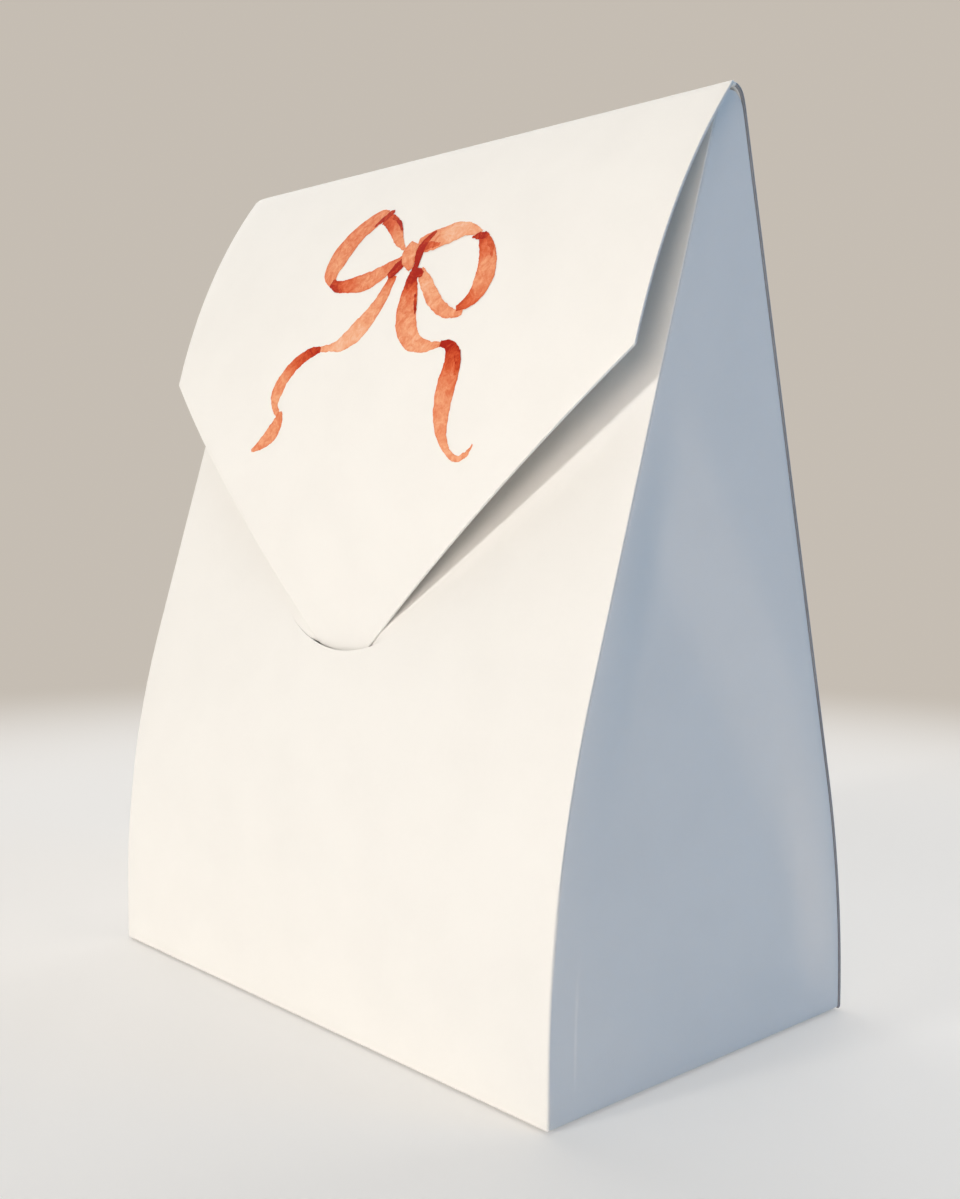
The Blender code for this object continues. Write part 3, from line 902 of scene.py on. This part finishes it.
RIGHT_TAIL = (
    ((2.0, -2.6, 2.2, 1.00), (2.0, -4.2, 2.6, 0.92), (2.4, -6.2, 3.6, 0.56), (3.0, -9.0, 4.2, 0.42),
     (4.2, -11.8, 4.0, 0.34), (7.0, -14.2, 2.6, 0.28), (10.2, -14.8, 1.4, 0.28),
     (12.8, -14.6, 0.9, 0.40)),
    ((12.4, -14.6, 0.8, 0.95), (14.4, -15.1, 1.9, 0.95), (15.7, -17.0, 3.2, 0.74),
     (15.6, -20.0, 3.9, 0.48), (15.4, -23.6, 3.5, 0.38), (15.9, -26.6, 2.5, 0.32),
     (17.2, -29.2, 1.3, 0.30), (19.4, -30.8, 0.9, 0.30), (21.4, -30.4, 0.7, 0.32),
     (22.7, -29.0, 0.3, 0.40)),
)
LEFT_LOOP = (
    ((-10.6, 9.2, 1.6, 0.42), (-12.8, 8.8, 3.3, 0.40), (-16.2, 6.2, 4.3, 0.44),
     (-18.2, 3.0, 5.0, 0.42), (-18.8, -0.2, 3.9, 0.36), (-17.6, -2.6, 1.0, 0.40)),
    ((-18.0, -2.2, 1.4, 0.95), (-15.6, -3.1, 2.0, 0.80), (-12.4, -3.1, 2.7, 0.55),
     (-8.8, -2.9, 3.3, 0.40), (-5.4, -1.6, 2.7, 0.40), (-1.6, 0.2, 1.2, 0.60)),
    ((-10.9, 8.2, 1.6, 0.75), (-9.2, 7.8, 2.4, 0.74), (-6.6, 5.7, 2.3, 0.50), (-4.6, 3.5, 1.7, 0.36),
     (-2.4, 1.7, 0.5, 0.34)),
    ((-12.8, 7.3, 0.3, 0.92), (-11.4, 8.3, 1.2, 0.96), (-9.9, 9.4, 1.2, 0.92), (-9.3, 9.7, 0.5, 0.88)),
)
RIGHT_LOOP = (
    ((15.4, -10.3, 0.9, 0.38), (13.2, -10.2, 1.4, 0.36), (11.0, -9.4, 2.0, 0.34),
     (8.4, -7.6, 2.4, 0.28), (5.6, -4.8, 2.2, 0.26), (3.2, -2.4, 1.3, 0.32)),
    ((0.4, 2.0, 2.4, 0.40), (2.4, 2.2, 3.4, 0.40), (5.0, 2.6, 3.6, 0.30), (8.0, 3.2, 3.4, 0.15),
     (11.0, 3.2, 2.0, 0.22), (13.9, 2.1, 1.0, 0.32)),
    ((14.3, 1.9, 1.4, 0.90), (15.6, 0.3, 2.3, 0.66), (17.0, -1.9, 3.1, 0.45), (17.8, -4.2, 3.8, 0.38),
     (17.6, -6.6, 3.7, 0.42), (16.2, -8.5, 2.4, 0.66), (13.9, -9.6, 0.9, 0.80)),
    ((12.3, 1.7, 0.3, 0.92), (13.5, 1.7, 1.1, 0.95), (14.8, 1.6, 1.2, 0.95), (15.7, 1.4, 0.5, 0.90)),
)
KNOT = (
    ((-4.0, -2.7, 1.0, 0.85), (-2.9, -1.8, 1.9, 1.00), (-1.6, -0.4, 1.6, 1.00), (-1.6, 0.9, 0.4, 0.95)),
    ((-0.4, 2.6, 2.0, 0.36), (-0.9, 1.2, 3.0, 0.34), (0.0, -0.6, 2.6, 0.36), (0.9, -2.1, 0.9, 0.45)),
    ((1.0, -2.9, 1.0, 1.00), (2.6, -2.9, 1.8, 1.00), (4.2, -3.2, 0.8, 0.90)),
    ((1.9, 1.1, 1.2, 0.75), (3.4, 1.6, 1.3, 0.68), (4.9, 1.5, 0.8, 0.66), (5.7, 1.5, 0.3, 0.60)),
    ((3.6, 4.0, 0.6, 0.90), (2.1, 2.4, 1.5, 0.95), (1.6, 0.8, 1.8, 1.00), (1.9, -1.2, 1.1, 1.00),
     (1.9, -3.0, 1.4, 1.00)),
)
DARK_EDGES = (
    ((-9.0, 8.4, 0.4, 0.85), (-6.7, 7.2, 0.6, 0.95), (-4.9, 5.4, 0.3, 0.90)),
    ((3.9, -6.4, 0.3, 0.90), (4.7, -8.2, 0.5, 1.00), (5.1, -9.6, 0.2, 0.95)),
    ((15.6, 1.2, 0.6, 0.85), (17.2, -0.4, 0.8, 0.72), (18.2, -2.2, 0.3, 0.60)),
    ((16.4, -16.0, 1.2, 0.85), (17.1, -17.8, 1.1, 0.80), (16.9, -19.4, 0.3, 0.70)),
)


def stroke_points(stroke):
    """Points along a smooth curve through a stroke's own points."""
    ends = [stroke[0], *stroke, stroke[-1]]
    points = []
    for before, here, after, beyond in zip(ends, ends[1:], ends[2:], ends[3:]):
        for step in range(STROKE_STEPS):
            t = step / STROKE_STEPS
            point = []
            for a, b, c, d in zip(before, here, after, beyond):
                bend = (2 * a - 5 * b + 4 * c - d) * t * t + (3 * b - a - 3 * c + d) * t ** 3
                point.append(b + ((c - a) * t + bend) / 2)
            points.append(point)
    points.append(list(stroke[-1]))
    return points


def lid_line():
    """The lid's outer face from the crest down: (distance down, y, z, outward y, outward z)."""
    samples = ridge_samples(CREST, CREST + RIDGE_STRIP_ANGLE, CREST_ROWS)[:-1] + lid_profile()
    line = []
    down = 0.0
    for i, (y, z, inward_y, inward_z) in enumerate(samples):
        if i:
            down += math.dist((y, z), samples[i - 1][:2])
        line.append((down, y, z, -inward_y, -inward_z))
    return line


LID_LINE = lid_line()


def on_lid(x, down, lift):
    """The point that lies a distance down the lid from the crest, lifted off its face."""
    for low, high in zip(LID_LINE, LID_LINE[1:]):
        if low[0] <= down <= high[0]:
            share = (down - low[0]) / (high[0] - low[0])
            _, y, z, out_y, out_z = (a + (b - a) * share for a, b in zip(low, high))
            return x, y + out_y * lift, z + out_z * lift
    raise ValueError("the print runs off the lid")


def edge_wobble(layer, row, edge_seed):
    """How a brush's edge strays along a stroke: a slow wander with a finer one on it."""
    seed = Vector((0, LAYER_SEED * layer, edge_seed))
    slow = noise.noise(seed + Vector((row * WOBBLE_STEP, 0, 0)))
    fine = noise.noise(seed + Vector((row * FINE_WOBBLE_STEP, 0, 0)))
    return EDGE_WOBBLE * (slow + FINE_WOBBLE_SHARE * fine)


def add_stroke(form, layer, stroke):
    """A strip of faces that follows a stroke's curve; each layer lies a hair above the last."""
    wash = form.verts.layers.float["wash"]
    edge = form.verts.layers.float["edge"]
    lift = PRINT_LIFT + LAYER_LIFT * layer
    points = stroke_points(stroke)
    rows = []
    for i, (right, up, width, tone) in enumerate(points):
        before = points[max(i - 1, 0)]
        after = points[min(i + 1, len(points) - 1)]
        along = Vector((after[0] - before[0], after[1] - before[1])).normalized()
        across = Vector((-along.y, along.x))
        row = []
        for share in spread(-1, 1, STROKE_COLUMNS):
            edge_seed = RIGHT_EDGE_SEED if share > 0 else LEFT_EDGE_SEED
            reach = (width / 2 + edge_wobble(layer, i, edge_seed)) * share
            flat = Vector((right, up)) + across * reach
            vertex = form.verts.new(on_lid(KNOT_X + flat.x * MM, KNOT_DOWN - flat.y * MM, lift))
            vertex[wash] = tone
            vertex[edge] = abs(share)
            row.append(vertex)
        rows.append(row)
    for low, high in zip(rows, rows[1:]):
        for column in range(STROKE_COLUMNS):
            form.faces.new((low[column], low[column + 1], high[column + 1], high[column]))


def make_bow():
    """Brush strokes laid on the lid in layers: tails, loops, knot, and dark edges."""
    form = bmesh.new()
    form.verts.layers.float.new("wash")
    form.verts.layers.float.new("edge")
    strokes = LEFT_TAIL + RIGHT_TAIL + LEFT_LOOP + RIGHT_LOOP + KNOT + DARK_EDGES
    for layer, stroke in enumerate(strokes):
        add_stroke(form, layer, stroke)
    for face in form.faces:
        face.normal_update()
        if face.normal.y > 0:
            face.normal_flip()
    piece = new_object("ribbon_bow_print", form)
    piece.data.materials.append(ribbon_material())
    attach(piece, "lid")


def dress_tabs():
    """The glue tabs stay as packed, in slightly rougher card."""
    for name, node in frame["nodes"].items():
        if name.endswith("_tab"):
            node.data.materials.clear()
            node.data.materials.append(TAB_CARD)


# Stage
BACKDROP = (0.56, 0.51, 0.45)
FLOOR_COLOUR = (0.95, 0.925, 0.895)
FLOOR_GLOW = (1.0, 0.98, 0.955)
FLOOR_GLOW_SHARE = 0.27
FLOOR_RADIUS = 1.5
FLOOR_SEGMENTS = 96
FLOOR_DROP = 0.25 * MM
FLOOR_ROUGHNESS = 0.7
FLOOR_GLOSS = 0.2
FADE_NEAR = 0.12
FADE_FAR = 0.36
SKY_COLOUR = (0.85, 0.92, 1.0)
SKY_STRENGTH = 0.02


def floor_material():
    """Pale and matt near the box, and turning softly into the backdrop's tone further out."""
    material, nodes, links = new_material("floor")
    shader = nodes["Principled BSDF"]
    shader.inputs["Base Color"].default_value = (*FLOOR_COLOUR, 1.0)
    shader.inputs["Roughness"].default_value = FLOOR_ROUGHNESS
    shader.inputs["Specular IOR Level"].default_value = FLOOR_GLOSS
    place = nodes.new("ShaderNodeTexCoord")
    length = nodes.new("ShaderNodeVectorMath")
    length.operation = "LENGTH"
    fade = nodes.new("ShaderNodeMapRange")
    fade.interpolation_type = "SMOOTHSTEP"
    fade.inputs["From Min"].default_value = FADE_NEAR
    fade.inputs["From Max"].default_value = FADE_FAR
    tone = add_ramp(nodes, ((0.0, FLOOR_GLOW), (1.0, BACKDROP)))
    glow = nodes.new("ShaderNodeEmission")
    share = add_range(nodes, FLOOR_GLOW_SHARE, 1.0)
    either = add_seen_test(nodes, links)
    seen = add_math(nodes, "MULTIPLY")
    mix = nodes.new("ShaderNodeMixShader")
    links.new(place.outputs["Object"], length.inputs[0])
    links.new(length.outputs["Value"], fade.inputs["Value"])
    links.new(fade.outputs["Result"], tone.inputs["Fac"])
    links.new(tone.outputs["Color"], glow.inputs["Color"])
    links.new(fade.outputs["Result"], share.inputs["Value"])
    links.new(share.outputs["Result"], seen.inputs[0])
    links.new(either.outputs["Value"], seen.inputs[1])
    links.new(seen.outputs["Value"], mix.inputs["Fac"])
    links.new(shader.outputs["BSDF"], mix.inputs[1])
    links.new(glow.outputs["Emission"], mix.inputs[2])
    links.new(mix.outputs["Shader"], nodes["Material Output"].inputs["Surface"])
    return material


def make_floor():
    form = bmesh.new()
    bmesh.ops.create_circle(form, cap_ends=True, radius=FLOOR_RADIUS, segments=FLOOR_SEGMENTS)
    bmesh.ops.translate(form, verts=form.verts, vec=(0, 0, -FLOOR_DROP))
    floor = new_object("floor", form)
    floor.data.materials.append(floor_material())


def make_world():
    """Faint even light; the camera and reflections see the plain backdrop instead."""
    world = bpy.data.worlds.new("studio")
    bpy.context.scene.world = world
    world.use_nodes = True
    nodes = world.node_tree.nodes
    links = world.node_tree.links
    light = nodes["Background"]
    light.inputs["Color"].default_value = (*SKY_COLOUR, 1.0)
    light.inputs["Strength"].default_value = SKY_STRENGTH
    backdrop = nodes.new("ShaderNodeBackground")
    backdrop.inputs["Color"].default_value = (*BACKDROP, 1.0)
    either = add_seen_test(nodes, links)
    mix = nodes.new("ShaderNodeMixShader")
    links.new(either.outputs["Value"], mix.inputs["Fac"])
    links.new(light.outputs["Background"], mix.inputs[1])
    links.new(backdrop.outputs["Background"], mix.inputs[2])
    links.new(mix.outputs["Shader"], nodes["World Output"].inputs["Surface"])


# Each lamp is (name, azimuth, elevation, distance, size, level, colour). Azimuth 0 is the front, and
# it grows to the right. A white wall that faced the lamp would render at its level. A small key gives
# the lid its crisp shadow; the wide lamps fill, light the back, and cool the side.
LAMPS = (
    ("key", -7, 10, 1.1, 0.12, 0.39, (1.0, 0.98, 0.92)),
    ("fill", 28, 7, 0.9, 0.5, 0.41, (1.0, 0.88, 0.79)),
    ("top", 20, 80, 0.9, 0.6, 0.27, (0.93, 0.98, 1.0)),
    ("left", -104, 34, 0.9, 0.6, 0.26, (1.0, 0.98, 0.96)),
    ("rear", 196, 38, 0.9, 0.8, 0.44, (1.0, 0.96, 0.91)),
    ("cool", 120, 12, 0.9, 0.4, 0.17, (0.0, 0.45, 1.0)),
)


def add_lamp(name, azimuth, elevation, distance, size, level, colour):
    """A square soft lamp aimed at the box's middle."""
    turn = math.radians(azimuth)
    rise = math.radians(elevation)
    way = Vector((math.sin(turn) * math.cos(rise), -math.cos(turn) * math.cos(rise), math.sin(rise)))
    data = bpy.data.lights.new(name, "AREA")
    data.shape = "SQUARE"
    data.size = size
    data.energy = level * (math.pi * distance) ** 2
    data.color = colour
    lamp = bpy.data.objects.new(name, data)
    lamp.location = Vector((0, 0, HEIGHT / 2)) + way * distance
    lamp.rotation_euler = way.to_track_quat("Z", "Y").to_euler()
    lamp.visible_camera = False
    bpy.context.scene.collection.objects.link(lamp)


def make_camera():
    data = bpy.data.cameras.new("camera")
    data.sensor_fit = "AUTO"
    data.sensor_width = SENSOR
    data.lens = FOCAL_PX * SENSOR / PHOTO_HEIGHT_PX
    data.clip_start = CLIP_NEAR
    data.clip_end = CLIP_FAR
    camera = bpy.data.objects.new("camera", data)
    flat = math.cos(CAMERA_PITCH)
    forward = Vector((math.sin(CAMERA_YAW) * flat, math.cos(CAMERA_YAW) * flat, math.sin(CAMERA_PITCH)))
    turn = forward.to_track_quat("-Z", "Y").to_matrix() @ Matrix.Rotation(CAMERA_ROLL, 3, "Z")
    camera.matrix_world = Matrix.Translation(CAMERA_PLACE) @ turn.to_4x4()
    bpy.context.scene.collection.objects.link(camera)
    bpy.context.scene.camera = camera


make_front()
make_side("right_side_card", 1, "right_side_panel")
make_side("left_side_card", -1, "left_side_panel")
make_bottom()
make_back()
make_base_crease()
make_ridge_crease()
make_lid()
make_bow()
dress_tabs()
make_floor()
make_world()
for lamp_values in LAMPS:
    add_lamp(*lamp_values)
make_camera()
bpy.context.scene.view_settings.view_transform = "Standard"
